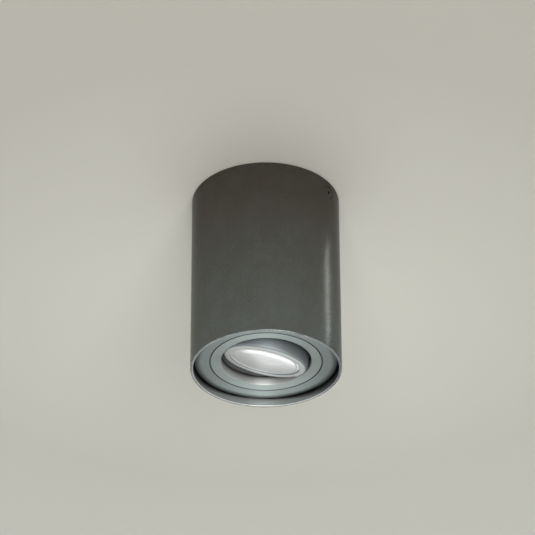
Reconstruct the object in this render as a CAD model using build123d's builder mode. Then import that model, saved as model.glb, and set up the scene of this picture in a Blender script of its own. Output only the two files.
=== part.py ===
from build123d import *

import os
from math import asin, cos, degrees, pi, radians, sin, sqrt, tan

# Surface mounted ceiling spotlight. A tube hangs from a fixing plate and is closed by a recessed
# face plate. A flush ring turns in the face plate, and the lamp head tilts in that ring.
# Millimetres, +Z up, origin at the middle of the ceiling face, so everything lies below zero.
# The head is modelled as the light is set, tilted by rest_tilt from its level position.

os.makedirs("parts", exist_ok=True)

# ---- Driving dimensions ----------------------------------------------------------------------

# Housing tube
body_height = 126.0  # ceiling to rim
rim_wall = 1.8
tube_shoulder = 0.8  # step in the bore that the face plate rests against
rim_rounding = 0.4
ceiling_gap = 0.3  # air between the ceiling and the tube's top edge

# Face plate
face_plate_width = 10.4  # groove to tube, which sets the tube's diameter
face_recess = 5.5  # rim to plate underside
plate_thickness = 2.5
plate_edge_rounding = 1.2
groove_width = 0.6  # dark line round the turning ring

# Turning ring
flange_thickness = 1.2
flange_bearing = 1.6  # flange overlap under the face plate
hub_step = 2.8  # collar to hub, radially
collar_wall = 2.0
collar_height = 12.0  # ring underside to collar top
ring_lip_rounding = 0.8

# Lamp head
lamp_diameter = 50.0
head_wall = 2.1
head_gap = 1.4  # head to ring opening
head_rise = 7.0  # cup's top edge above the pivot
pivot_rise = 5.2  # pivot above the ring underside, and above the bezel when level
bezel_lip = 1.15  # thickness of the lip that the lamp rests on
bezel_rounding = 2.5
bezel_overlap = 2.3  # lamp's edge behind the bezel
opening_rounding = 0.4
tilt_azimuth = 45.0  # direction of the tilt axis
rest_tilt = 16.9  # tilt that the light is set to

# Pivots
pivot_pin_diameter = 3.0
pivot_head_diameter = 4.8
pivot_head_thickness = 1.2
washer_diameter = 8.0
washer_thickness = 0.8

# Fixing plate
sheet_thickness = 1.5
ear_width = 16.0
ear_margin = 8.0  # ear below the side screw's axis
slot_spacing = 60.0
slot_length = 12.0
slot_width = 4.5
inlet_hole_diameter = 16.0

# Side screws and their nuts
side_screw_azimuths = (-31.0, 149.0)
side_screw_drop = 8.0  # ceiling to screw axis
side_screw_diameter = 4.0
side_screw_length = 9.0
side_head_diameter = 8.2
side_head_inset = 0.3  # head below the tube's surface
side_socket_width = 2.5
side_socket_depth = 1.4
countersink_margin = 0.5
nut_diameter = 8.0
nut_thickness = 2.4
nut_shank_diameter = 5.8

# Cable grommet
inlet_diameter = 9.0
grommet_flange_width = 2.5
grommet_flange_thickness = 2.0
grommet_collar_wall = 2.0
grommet_collar_length = 3.0
grommet_rounding = 0.5

# Terminal block
pole_pitch = 9.0
pole_count = 3
tower_width = 8.2
block_depth = 16.0
block_height = 13.0
block_gap = 1.5  # grommet flange to block
web_height = 5.0
foot_length = 7.0
foot_width = 9.0
foot_thickness = 2.5
tower_rounding = 0.8
sleeve_diameter = 4.6
sleeve_bore = 3.0
sleeve_recess = 1.0
sleeve_drop = 7.0  # fixing plate to sleeve axis
clamp_screw_diameter = 2.4
clamp_screw_offset = 4.0  # along the sleeve, from its middle
clamp_head_diameter = 3.4
clamp_head_thickness = 1.6
clamp_head_inset = 0.5
foot_screw_diameter = 3.0
foot_screw_head_diameter = 5.5
foot_screw_head_thickness = 1.8

# Screwdriver recesses, as shares of the screw heads
slot_share = 1 / 6  # width of a plain slot
cross_share = 1 / 8  # width of a cross
cross_reach = 1 / 2  # length of a cross

# Earth connection
earth_position = (24.0, 12.0)
earth_screw_diameter = 4.0
earth_head_diameter = 7.6
earth_head_thickness = 2.4
tag_diameter = 8.0
tag_thickness = 0.8
tag_neck_width = 2.6
tag_barrel_diameter = 3.8
tag_barrel_length = 6.0

# Leads
supply_lead_diameter = 2.4
earth_lead_diameter = 2.2
lead_insertion = 6.0  # lead inside a terminal
tag_insertion = 4.5  # earth lead inside the tag's barrel
lead_straight = 10.0  # last straight run above the lampholder

# Springs that hold the ring up
spring_azimuths = (0.0, 90.0, 180.0, 270.0)
spring_thickness = 0.5
spring_arc = 16.0  # degrees of the collar that each spring covers
spring_reach = 0.9  # foot outside the face plate's hole
spring_leg_length = 5.5
spring_top_drop = 0.6  # fold below the collar top
rivet_diameter = 2.0
rivet_head_diameter = 3.6
rivet_head_thickness = 0.8
rivet_depth = 1.2  # into the collar
rivet_drop = 3.2  # below the collar top

# Stops that end the ring's turn
stop_tab_azimuth = 135.0
stop_tab_width = 6.0
stop_tab_thickness = 1.0
stop_pin_azimuth = -45.0
stop_pin_diameter = 3.0
stop_pin_depth = 1.5  # into the face plate
stop_pin_wall = 0.8  # face plate between the ring's seat and the pin
stop_pin_chamfer = 0.3
stop_arm_rise = 3.0  # above the face plate
stop_overlap = 1.5  # stop arm and pin, axially
stop_screw_diameter = 2.5
stop_screw_head_diameter = 4.0
stop_screw_head_thickness = 1.3

# Lamp
lamp_rim_height = 5.2
lamp_rim_step = 0.9  # rim to neck, radially
lamp_wall = 1.9  # neck to the optic's chamber
lamp_base_diameter = 25.2
lamp_body_length = 37.5  # lamp face to base
lamp_base_length = 13.4
lamp_web_height = 3.0
lamp_back_bulge = 3.0  # the lamp's back outside a straight cone, at half its height
lens_margin = 1.4  # lamp's rim outside the lens
lens_thickness = 1.6
lens_crown = 0.5
optic_depth = 7.4  # lens to board floor
board_thickness = 1.6
chip_count = 8
chip_width = 2.8
chip_height = 0.8
chip_circle_diameter = 24.0
lamp_pin_spacing = 10.0
lamp_pin_neck_diameter = 3.0
lamp_pin_head_diameter = 5.0
lamp_pin_neck_length = 3.4
lamp_pin_head_length = 3.2
lamp_pin_inner_diameter = 4.0  # the pins' inner ends, below the base's floor
base_wall = 2.5
base_rounding = 1.0
spigot_length = 4.0
driver_board_length = 22.0
capacitor_diameter = 7.0
capacitor_length = 10.0

# Lamp retaining ring
wire_diameter = 1.4
wire_opening = 36.0  # degrees between the ring's ends

# Lampholder
holder_diameter = 28.0
holder_width = 20.0
holder_height = 15.6
holder_chamber = 7.1  # height of the contact chamber
chamber_margin = 0.3  # chamber round the keyholes
holder_chamfer = 1.0
keyhole_turn = 32.0  # degrees that the lamp is turned to lock it
contact_width = 3.6
contact_thickness = 0.5

# ---- Clearances ------------------------------------------------------------------------------

press_gap = 0.05  # radial, pieces that are pressed or screwed together
turn_gap = 0.1  # running clearance of the ring in the face plate
pin_gap = 0.05  # radial, pivot pins in their holes
slip_gap = 0.3  # fixing plate in the tube, lampholder on the lamp
lamp_gap = 0.2  # lamp in the head
hub_gap = 0.2  # hub below the pivot pins' heads
tool_gap = 0.2  # clamping screws in their shafts
key_gap = 0.2  # lamp pins in the lampholder's keyholes
key_play = 0.4  # lamp pins' heads above the lampholder's floor
driver_gap = 0.85  # driver board in the lamp base

# ---- Levels and radii that follow ------------------------------------------------------------

rim_z = -body_height
plate_bottom_z = rim_z + face_recess
plate_top_z = plate_bottom_z + plate_thickness

lamp_r = lamp_diameter / 2
pocket_r = lamp_r + lamp_gap
head_r = pocket_r + head_wall
ring_opening_r = head_r + head_gap
collar_r = ring_opening_r + collar_wall
hub_r = collar_r + hub_step
plate_hole_r = hub_r + turn_gap
flange_r = plate_hole_r + flange_bearing
rebate_r = flange_r + groove_width
rim_bore_r = rebate_r + face_plate_width
tube_r = rim_bore_r + rim_wall
bore_r = rim_bore_r - tube_shoulder
flange_top_z = plate_bottom_z + flange_thickness
rebate_z = flange_top_z + turn_gap
collar_top_z = plate_bottom_z + collar_height

pivot_z = plate_bottom_z + pivot_rise
pin_r = pivot_pin_diameter / 2
pin_hole_r = pin_r + pin_gap
hub_top_z = pivot_z - pivot_head_diameter / 2 - hub_gap

# Levels marked _h run from the pivot up the head's own axis.
opening_r = lamp_r - bezel_overlap
face_h = -pivot_rise
lamp_face_h = face_h + bezel_lip
lamp_rim_h = lamp_face_h + lamp_rim_height
wire_r = wire_diameter / 2
groove_r = lamp_r + wire_r + press_gap
groove_bottom_h = lamp_rim_h
groove_top_h = groove_bottom_h + wire_diameter + 2 * press_gap
wire_h = (groove_bottom_h + groove_top_h) / 2

sheet_z = -sheet_thickness
side_screw_z = -side_screw_drop
ear_outer_r = bore_r - slip_gap
ear_inner_r = ear_outer_r - sheet_thickness
ear_bottom_z = side_screw_z - ear_margin


# ---- Helpers ---------------------------------------------------------------------------------


def radial_plane(azimuth, radius, height):
    """Plane that faces outwards at a radius, with its y direction up."""
    outwards = Vector(cos(radians(azimuth)), sin(radians(azimuth)), 0)
    sideways = Vector(-sin(radians(azimuth)), cos(radians(azimuth)), 0)
    return Plane(origin=outwards * radius + Vector(0, 0, height), x_dir=sideways, z_dir=outwards)


def section_plane(azimuth):
    """Upright plane through the tube's axis: x is the radius and y is the height."""
    outwards = Vector(cos(radians(azimuth)), sin(radians(azimuth)), 0)
    sideways = Vector(sin(radians(azimuth)), -cos(radians(azimuth)), 0)
    return Plane(origin=(0, 0, 0), x_dir=outwards, z_dir=sideways)


def chord_depth(radius, half_width):
    """Distance from the axis to a chord of a circle, for a flat piece that lies on its inside."""
    return sqrt(radius**2 - half_width**2)


def bend_radii(points):
    """Largest bend that fits each corner of a lead: its two runs share the shorter run."""
    radii = []
    for before, corner, after in zip(points, points[1:], points[2:]):
        arriving, leaving = corner - before, after - corner
        half_turn = radians(arriving.get_angle(leaving)) / 2
        radii.append(0.45 * min(arriving.length, leaving.length) / tan(half_turn))
    return radii


def report_lead(name, lead, path_length, diameter, radii):
    """Prints a lead's length and bends, and its volume against its section times its length."""
    expected = pi * (diameter / 2) ** 2 * path_length
    print(f"{name}: {path_length:.1f} mm long, volume {lead.volume:.1f} of {expected:.1f} mm3,")
    print("  bends of " + ", ".join(f"{radius:.1f}" for radius in radii) + " mm")


# ---- Housing tube ----------------------------------------------------------------------------

side_head_r = side_head_diameter / 2
side_screw_r = side_screw_diameter / 2
side_planes = [radial_plane(azimuth, tube_r, side_screw_z) for azimuth in side_screw_azimuths]

with BuildPart() as housing_tube:
    with BuildSketch(Plane.XZ):
        with BuildLine():
            Polyline(
                (bore_r, -ceiling_gap),
                (tube_r, -ceiling_gap),
                (tube_r, rim_z),
                (rim_bore_r, rim_z),
                (rim_bore_r, plate_top_z),
                (bore_r, plate_top_z),
                close=True,
            )
        make_face()
    revolve(axis=Axis.Z)
    fillet(housing_tube.edges().group_by(Axis.Z)[0], radius=rim_rounding)
    with Locations(*side_planes):
        CounterSinkHole(
            radius=side_screw_r + countersink_margin / 2,
            counter_sink_radius=side_head_r + countersink_margin,
            depth=2 * (rim_wall + tube_shoulder),
            counter_sink_angle=90,
        )

# ---- Face plate ------------------------------------------------------------------------------

stop_pin_r = stop_pin_diameter / 2
spring_foot_r = plate_hole_r + spring_reach
stop_circle_r = rebate_r + stop_pin_wall + stop_pin_r
stop_pin_x = stop_circle_r * cos(radians(stop_pin_azimuth))
stop_pin_y = stop_circle_r * sin(radians(stop_pin_azimuth))

with BuildPart() as face_plate:
    with BuildSketch(Plane.XZ):
        with BuildLine():
            Polyline(
                (plate_hole_r, plate_top_z),
                (rim_bore_r - press_gap, plate_top_z),
                (rim_bore_r - press_gap, plate_bottom_z),
                (rebate_r, plate_bottom_z),
                (rebate_r, rebate_z),
                (plate_hole_r, rebate_z),
                close=True,
            )
        make_face()
    revolve(axis=Axis.Z)
    outer_edge = face_plate.edges().group_by(Axis.Z)[0].sort_by(SortBy.RADIUS)[-1]
    fillet(outer_edge, radius=plate_edge_rounding)
    with BuildSketch(Plane.XY.offset(plate_top_z)):
        with Locations((stop_pin_x, stop_pin_y)):
            Circle(stop_pin_r + press_gap)
    extrude(amount=-stop_pin_depth, mode=Mode.SUBTRACT)

stop_arm_bottom_z = plate_top_z + stop_arm_rise
stop_arm_top_z = stop_arm_bottom_z + stop_tab_thickness
stop_screw_z = (stop_arm_top_z + collar_top_z) / 2

with BuildPart() as rotation_stop_pin:
    with BuildSketch(Plane.XY.offset(plate_top_z - stop_pin_depth)):
        with Locations((stop_pin_x, stop_pin_y)):
            Circle(stop_pin_r)
    extrude(amount=stop_pin_depth + stop_arm_rise + stop_tab_thickness + stop_overlap)
    chamfer(rotation_stop_pin.edges().group_by(Axis.Z)[-1], length=stop_pin_chamfer)

# ---- Fixing plate with its ears ----------------------------------------------------------------

inlet_hole_r = inlet_hole_diameter / 2
nut_shank_r = nut_shank_diameter / 2
grommet_flange_r = inlet_hole_r + grommet_flange_width
block_near_y = grommet_flange_r + block_gap
block_middle_y = block_near_y + block_depth / 2
block_far_y = block_near_y + block_depth
towers_length = pole_pitch * (pole_count - 1) + tower_width
foot_screw_x = (towers_length + foot_length) / 2
foot_screw_points = [(-foot_screw_x, block_middle_y), (foot_screw_x, block_middle_y)]

with BuildPart() as ceiling_plate:
    with BuildSketch(Plane.XY):
        Circle(ear_outer_r)
        Circle(inlet_hole_r, mode=Mode.SUBTRACT)
        with Locations((-slot_spacing / 2, 0), (slot_spacing / 2, 0)):
            SlotOverall(slot_length, slot_width, mode=Mode.SUBTRACT)
        with Locations(*foot_screw_points):
            Circle(foot_screw_diameter / 2 + press_gap, mode=Mode.SUBTRACT)
        with Locations(earth_position):
            Circle(earth_screw_diameter / 2 + press_gap, mode=Mode.SUBTRACT)
    extrude(amount=-sheet_thickness)
    with BuildSketch(Plane.XY):
        Circle(ear_outer_r)
        Circle(ear_inner_r, mode=Mode.SUBTRACT)
        Rectangle(2 * tube_r, ear_width, rotation=side_screw_azimuths[0], mode=Mode.INTERSECT)
    extrude(amount=ear_bottom_z)
    for azimuth in side_screw_azimuths:
        with BuildSketch(radial_plane(azimuth, tube_r, side_screw_z)):
            Circle(nut_shank_r + press_gap)
        extrude(amount=ear_inner_r - tube_r - sheet_thickness, mode=Mode.SUBTRACT)

# ---- Side screws and the nuts in the ears ------------------------------------------------------

with BuildPart() as side_screws:
    for azimuth in side_screw_azimuths:
        head_face = radial_plane(azimuth, tube_r - side_head_inset, side_screw_z)
        with BuildSketch(head_face):
            Circle(side_head_r)
        with BuildSketch(head_face.offset(side_screw_r - side_head_r)):
            Circle(side_screw_r)
        loft()
        with BuildSketch(head_face):
            Circle(side_screw_r)
        extrude(amount=-side_screw_length)
        with BuildSketch(head_face):
            RegularPolygon(side_socket_width / 2, side_count=6, major_radius=False)
        extrude(amount=-side_socket_depth, mode=Mode.SUBTRACT)

nut_face_r = chord_depth(ear_inner_r, nut_diameter / 2) - press_gap
nut_shank_end_r = chord_depth(ear_outer_r, nut_shank_r) - press_gap

with BuildPart() as clinch_nuts:
    for azimuth in side_screw_azimuths:
        nut_face = radial_plane(azimuth, nut_face_r, side_screw_z)
        with BuildSketch(nut_face):
            Circle(nut_diameter / 2)
        extrude(amount=-nut_thickness)
        with BuildSketch(nut_face):
            Circle(nut_shank_r)
        extrude(amount=nut_shank_end_r - nut_face_r)
        with BuildSketch(nut_face):
            Circle(side_screw_r + press_gap)
        extrude(amount=nut_thickness + nut_shank_diameter, both=True, mode=Mode.SUBTRACT)

# ---- Cable grommet -----------------------------------------------------------------------------

inlet_r = inlet_diameter / 2
grommet_collar_r = inlet_r + grommet_collar_wall
grommet_flange_z = sheet_z - grommet_flange_thickness
grommet_end_z = grommet_flange_z - grommet_collar_length

with BuildPart() as cable_grommet:
    with BuildSketch(Plane.XZ):
        with BuildLine():
            Polyline(
                (inlet_r, 0),
                (inlet_hole_r - press_gap, 0),
                (inlet_hole_r - press_gap, sheet_z),
                (grommet_flange_r, sheet_z),
                (grommet_flange_r, grommet_flange_z),
                (grommet_collar_r, grommet_flange_z),
                (grommet_collar_r, grommet_end_z),
                (inlet_r, grommet_end_z),
                close=True,
            )
        make_face()
    revolve(axis=Axis.Z)
    flange_edge = cable_grommet.edges().filter_by_position(Axis.Z, grommet_flange_z, grommet_flange_z)
    fillet(flange_edge.sort_by(SortBy.RADIUS)[-1], radius=grommet_rounding)
    collar_end = cable_grommet.edges().group_by(Axis.Z)[0]
    fillet(collar_end.sort_by(SortBy.RADIUS)[-1], radius=grommet_rounding)

# ---- Terminal block ----------------------------------------------------------------------------

pole_xs = [pole_pitch * (index - (pole_count - 1) / 2) for index in range(pole_count)]
sleeve_z = sheet_z - sleeve_drop
block_bottom_z = sheet_z - block_height
sleeve_r = sleeve_diameter / 2
clamp_ys = (block_middle_y - clamp_screw_offset, block_middle_y + clamp_screw_offset)
clamp_points = [(x, y) for x in pole_xs for y in clamp_ys]
far_face = Plane(origin=(0, block_far_y, sleeve_z), x_dir=(-1, 0, 0), z_dir=(0, 1, 0))

with BuildPart() as terminal_block:
    with BuildSketch(Plane.XY.offset(sheet_z)):
        with Locations(*[(x, block_middle_y) for x in pole_xs]):
            RectangleRounded(tower_width, block_depth, radius=tower_rounding)
    extrude(amount=-block_height)
    with BuildSketch(Plane.XY.offset(sheet_z)):
        with Locations((0, block_middle_y)):
            Rectangle(towers_length - tower_width, block_depth / 2)
    extrude(amount=-web_height)
    with BuildSketch(Plane.XY.offset(sheet_z)):
        with Locations((0, block_middle_y)):
            Rectangle(towers_length + 2 * foot_length, foot_width)
        with Locations(*foot_screw_points):
            Circle(foot_screw_diameter / 2 + press_gap, mode=Mode.SUBTRACT)
    extrude(amount=-foot_thickness)
    with BuildSketch(far_face):
        with Locations(*[(-x, 0) for x in pole_xs]):
            Circle(sleeve_r + press_gap)
    extrude(amount=-block_depth, mode=Mode.SUBTRACT)
    with BuildSketch(Plane.XY.offset(block_bottom_z)):
        with Locations(*clamp_points):
            Circle(clamp_head_diameter / 2 + tool_gap)
    extrude(amount=sleeve_z - block_bottom_z, mode=Mode.SUBTRACT)

with BuildPart() as terminal_sleeves:
    with BuildSketch(far_face.offset(-sleeve_recess)):
        with Locations(*[(-x, 0) for x in pole_xs]):
            Circle(sleeve_r)
            Circle(sleeve_bore / 2, mode=Mode.SUBTRACT)
    extrude(amount=2 * sleeve_recess - block_depth)
    with BuildSketch(Plane.XY.offset(sleeve_z - sleeve_diameter)):
        with Locations(*clamp_points):
            Circle(clamp_screw_diameter / 2 + press_gap)
    extrude(amount=sleeve_diameter, mode=Mode.SUBTRACT)

# The screws on the side of the leads are tight on them, and the supply side's are backed off.
clamp_tip_z = sleeve_z - supply_lead_diameter / 2 - press_gap
clamp_shank_length = clamp_tip_z - (block_bottom_z + clamp_head_inset + clamp_head_thickness)
open_tip_z = sleeve_z - sleeve_bore / 2

with BuildPart() as terminal_screws:
    for clamp_y, tip_z in zip(clamp_ys, (open_tip_z, clamp_tip_z)):
        spots = [(x, clamp_y) for x in pole_xs]
        with BuildSketch(Plane.XY.offset(tip_z)):
            with Locations(*spots):
                Circle(clamp_screw_diameter / 2)
        extrude(amount=-clamp_shank_length)
        with BuildSketch(Plane.XY.offset(tip_z - clamp_shank_length)):
            with Locations(*spots):
                Circle(clamp_head_diameter / 2)
        extrude(amount=-clamp_head_thickness)
        with BuildSketch(Plane.XY.offset(tip_z - clamp_shank_length - clamp_head_thickness)):
            with Locations(*spots):
                Rectangle(clamp_head_diameter, slot_share * clamp_head_diameter)
        extrude(amount=clamp_head_thickness / 2, mode=Mode.SUBTRACT)

foot_bottom_z = sheet_z - foot_thickness

with BuildPart() as terminal_block_screws:
    with BuildSketch(Plane.XY.offset(foot_bottom_z)):
        with Locations(*foot_screw_points):
            Circle(foot_screw_head_diameter / 2)
    extrude(amount=-foot_screw_head_thickness)
    fillet(terminal_block_screws.edges().group_by(Axis.Z)[0], radius=foot_screw_head_thickness / 3)
    with BuildSketch(Plane.XY.offset(foot_bottom_z)):
        with Locations(*foot_screw_points):
            Circle(foot_screw_diameter / 2)
    extrude(amount=foot_thickness + sheet_thickness - press_gap)
    with BuildSketch(Plane.XY.offset(foot_bottom_z - foot_screw_head_thickness)):
        with Locations(*foot_screw_points):
            Rectangle(cross_reach * foot_screw_head_diameter, cross_share * foot_screw_head_diameter)
            Rectangle(cross_share * foot_screw_head_diameter, cross_reach * foot_screw_head_diameter)
    extrude(amount=foot_screw_head_thickness / 2, mode=Mode.SUBTRACT)

# ---- Earth connection --------------------------------------------------------------------------

earth_x, earth_y = earth_position
tag_bottom_z = sheet_z - tag_thickness
barrel_near_y = earth_y + tag_diameter / 2 + tag_thickness
barrel_far_y = barrel_near_y + tag_barrel_length
barrel_z = sheet_z - tag_barrel_diameter / 2
barrel_face = Plane(origin=(earth_x, barrel_far_y, barrel_z), x_dir=(-1, 0, 0), z_dir=(0, 1, 0))
neck_length = barrel_near_y + tag_barrel_length / 3 - earth_y

with BuildPart() as earth_tag:
    with BuildSketch(Plane.XY.offset(sheet_z)):
        with Locations(earth_position):
            Circle(tag_diameter / 2)
        with Locations((earth_x, earth_y + neck_length / 2)):
            Rectangle(tag_neck_width, neck_length)
        with Locations(earth_position):
            Circle(earth_screw_diameter / 2 + press_gap, mode=Mode.SUBTRACT)
    extrude(amount=-tag_thickness)
    with BuildSketch(barrel_face):
        Circle(tag_barrel_diameter / 2)
    extrude(amount=-tag_barrel_length)
    with BuildSketch(barrel_face):
        Circle(earth_lead_diameter / 2 + press_gap)
    extrude(amount=-tag_barrel_length, mode=Mode.SUBTRACT)

with BuildPart() as earth_screw:
    with BuildSketch(Plane.XY.offset(tag_bottom_z)):
        with Locations(earth_position):
            Circle(earth_head_diameter / 2)
    extrude(amount=-earth_head_thickness)
    fillet(earth_screw.edges().group_by(Axis.Z)[0], radius=earth_head_thickness / 3)
    with BuildSketch(Plane.XY.offset(tag_bottom_z)):
        with Locations(earth_position):
            Circle(earth_screw_diameter / 2)
    extrude(amount=tag_thickness + sheet_thickness - press_gap)
    with BuildSketch(Plane.XY.offset(tag_bottom_z - earth_head_thickness)):
        with Locations(earth_position):
            Rectangle(cross_reach * earth_head_diameter, cross_share * earth_head_diameter)
            Rectangle(cross_share * earth_head_diameter, cross_reach * earth_head_diameter)
    extrude(amount=earth_head_thickness / 2, mode=Mode.SUBTRACT)

# ---- Turning ring ------------------------------------------------------------------------------

pivot_plane = radial_plane(tilt_azimuth, 0, pivot_z)
rivet_z = collar_top_z - rivet_drop
rivet_r = rivet_diameter / 2
stop_screw_r = stop_screw_diameter / 2

with BuildPart() as swivel_ring:
    with BuildSketch(Plane.XZ):
        with BuildLine():
            Polyline(
                (ring_opening_r, plate_bottom_z),
                (flange_r, plate_bottom_z),
                (flange_r, flange_top_z),
                (hub_r, flange_top_z),
                (hub_r, hub_top_z),
                (collar_r, hub_top_z),
                (collar_r, collar_top_z),
                (ring_opening_r, collar_top_z),
                close=True,
            )
        make_face()
    revolve(axis=Axis.Z)
    opening_edge = swivel_ring.edges().group_by(Axis.Z)[0].sort_by(SortBy.RADIUS)[0]
    fillet(opening_edge, radius=ring_lip_rounding)
    with BuildSketch(pivot_plane):
        Circle(pin_hole_r)
    extrude(amount=hub_r, both=True, mode=Mode.SUBTRACT)
    for azimuth in spring_azimuths:
        with BuildSketch(radial_plane(azimuth, collar_r - rivet_depth, rivet_z)):
            Circle(rivet_r + press_gap)
        extrude(amount=collar_wall, mode=Mode.SUBTRACT)
    with BuildSketch(radial_plane(stop_tab_azimuth, collar_r - rivet_depth, stop_screw_z)):
        Circle(stop_screw_r + press_gap)
    extrude(amount=collar_wall, mode=Mode.SUBTRACT)

# ---- Pivot pins and washers --------------------------------------------------------------------

pivot_azimuths = (tilt_azimuth, tilt_azimuth + 180)
pin_inner_r = groove_r + press_gap
pin_outer_r = collar_r + press_gap
washer_outer_x = chord_depth(ring_opening_r, washer_diameter / 2) - press_gap
washer_inner_x = washer_outer_x - washer_thickness

with BuildPart() as pivot_pins:
    for azimuth in pivot_azimuths:
        with BuildSketch(radial_plane(azimuth, pin_inner_r, pivot_z)):
            Circle(pin_r)
        extrude(amount=pin_outer_r - pin_inner_r)
        with BuildSketch(radial_plane(azimuth, pin_outer_r, pivot_z)):
            Circle(pivot_head_diameter / 2)
        extrude(amount=pivot_head_thickness)
        with BuildSketch(radial_plane(azimuth, pin_outer_r + pivot_head_thickness, pivot_z)):
            Rectangle(pivot_head_diameter, slot_share * pivot_head_diameter)
        extrude(amount=-pivot_head_thickness / 2, mode=Mode.SUBTRACT)

with BuildPart() as pivot_washers:
    for azimuth in pivot_azimuths:
        with BuildSketch(radial_plane(azimuth, washer_inner_x, pivot_z)):
            Circle(washer_diameter / 2)
            Circle(pin_hole_r, mode=Mode.SUBTRACT)
        extrude(amount=washer_thickness)

# ---- Springs that hold the ring up -------------------------------------------------------------

spring_inner_r = collar_r + press_gap
spring_top_z = collar_top_z - spring_top_drop
spring_foot_z = plate_top_z + spring_thickness / 2
spring_middle_r = spring_inner_r + spring_thickness / 2
spring_fold_r = spring_middle_r + 3 * spring_thickness

with BuildPart() as retention_springs:
    for azimuth in spring_azimuths:
        with BuildSketch(section_plane(azimuth - spring_arc / 2)):
            with BuildLine():
                FilletPolyline(
                    (spring_middle_r, spring_top_z - spring_leg_length),
                    (spring_middle_r, spring_top_z),
                    (spring_fold_r, spring_top_z),
                    (spring_foot_r, spring_foot_z),
                    radius=spring_thickness,
                )
                offset(amount=spring_thickness / 2)
            make_face()
        revolve(axis=Axis.Z, revolution_arc=spring_arc)
        with BuildSketch(radial_plane(azimuth, collar_r, rivet_z)):
            Circle(rivet_r + press_gap)
        extrude(amount=spring_thickness + 2 * press_gap, mode=Mode.SUBTRACT)
        with BuildSketch(radial_plane(azimuth, spring_fold_r, rivet_z)):
            Circle(rivet_head_diameter / 2 + press_gap)
        extrude(amount=hub_step, mode=Mode.SUBTRACT)

with BuildPart() as spring_rivets:
    for azimuth in spring_azimuths:
        with BuildSketch(radial_plane(azimuth, collar_r - rivet_depth + press_gap, rivet_z)):
            Circle(rivet_r)
        extrude(amount=rivet_depth + spring_thickness + press_gap)
        with BuildSketch(radial_plane(azimuth, spring_inner_r + spring_thickness, rivet_z)):
            Circle(rivet_head_diameter / 2)
        extrude(amount=rivet_head_thickness)

# ---- Stop that ends the ring's turn ------------------------------------------------------------

stop_leg_r = collar_r + press_gap
stop_arm_r = stop_circle_r + stop_pin_r
stop_half_arc = degrees(asin(stop_tab_width / 2 / collar_r))

with BuildPart() as rotation_stop_tab:
    with BuildSketch(section_plane(stop_tab_azimuth - stop_half_arc)):
        with BuildLine():
            Polyline(
                (stop_leg_r, stop_arm_bottom_z),
                (stop_arm_r, stop_arm_bottom_z),
                (stop_arm_r, stop_arm_top_z),
                (stop_leg_r + stop_tab_thickness, stop_arm_top_z),
                (stop_leg_r + stop_tab_thickness, collar_top_z),
                (stop_leg_r, collar_top_z),
                close=True,
            )
        make_face()
    revolve(axis=Axis.Z, revolution_arc=2 * stop_half_arc)
    with BuildSketch(radial_plane(stop_tab_azimuth, collar_r, stop_screw_z)):
        Circle(stop_screw_r + press_gap)
    extrude(amount=2 * stop_tab_thickness, mode=Mode.SUBTRACT)

stop_head_r = stop_leg_r + stop_tab_thickness

with BuildPart() as stop_tab_screw:
    screw_end_r = collar_r - rivet_depth + press_gap
    with BuildSketch(radial_plane(stop_tab_azimuth, screw_end_r, stop_screw_z)):
        Circle(stop_screw_r)
    extrude(amount=rivet_depth + stop_tab_thickness + press_gap)
    with BuildSketch(radial_plane(stop_tab_azimuth, stop_head_r, stop_screw_z)):
        Circle(stop_screw_head_diameter / 2)
    extrude(amount=stop_screw_head_thickness)
    with BuildSketch(
        radial_plane(stop_tab_azimuth, stop_head_r + stop_screw_head_thickness, stop_screw_z)
    ):
        Rectangle(stop_screw_head_diameter, slot_share * stop_screw_head_diameter)
    extrude(amount=-stop_screw_head_thickness / 2, mode=Mode.SUBTRACT)

# ---- Head frame: h runs from the pivot up the head's own axis -----------------------------------

pivot = Vector(0, 0, pivot_z)
tilt_axis = Vector(cos(radians(tilt_azimuth)), sin(radians(tilt_azimuth)), 0)
head_up = Vector(0, 0, 1).rotate(Axis((0, 0, 0), tilt_axis), rest_tilt)
head_plane = Plane(origin=pivot, x_dir=tilt_axis, z_dir=head_up)
head_section = Plane(origin=pivot, x_dir=tilt_axis, z_dir=tilt_axis.cross(head_up))
head_axis = Axis(pivot, head_up)

# ---- Head cup ----------------------------------------------------------------------------------

with BuildPart() as head_cup:
    with BuildSketch(head_section):
        with BuildLine():
            face_angle = degrees(asin(face_h / head_r))
            top_angle = degrees(asin(head_rise / head_r))
            wall = CenterArc((0, 0), head_r, face_angle, top_angle - face_angle)
            Polyline(
                wall @ 0,
                (opening_r, face_h),
                (opening_r, lamp_face_h),
                (pocket_r, lamp_face_h),
                (pocket_r, groove_bottom_h),
                (groove_r, groove_bottom_h),
                (groove_r, groove_top_h),
                (pocket_r, groove_top_h),
                (pocket_r, head_rise),
                wall @ 1,
            )
        make_face()
    revolve(axis=head_axis)
    face_edges = head_cup.edges().filter_by(GeomType.CIRCLE)
    face_edges = face_edges.sort_by(head_axis)[:2].sort_by(SortBy.RADIUS)
    fillet(face_edges[-1], radius=bezel_rounding)
    fillet(face_edges[0], radius=opening_rounding)
    with BuildSketch(pivot_plane):
        Circle(pin_hole_r)
    extrude(amount=hub_r, both=True, mode=Mode.SUBTRACT)

# ---- Lamp retaining ring -----------------------------------------------------------------------

with BuildPart() as lamp_retaining_ring:
    with BuildLine(head_plane.offset(wire_h)) as wire_path:
        CenterArc((0, 0), lamp_r, 90 + wire_opening / 2, 360 - wire_opening)
    with BuildSketch(wire_path.line ^ 0):
        Circle(wire_r)
    sweep()

# ---- Lamp --------------------------------------------------------------------------------------

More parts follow.
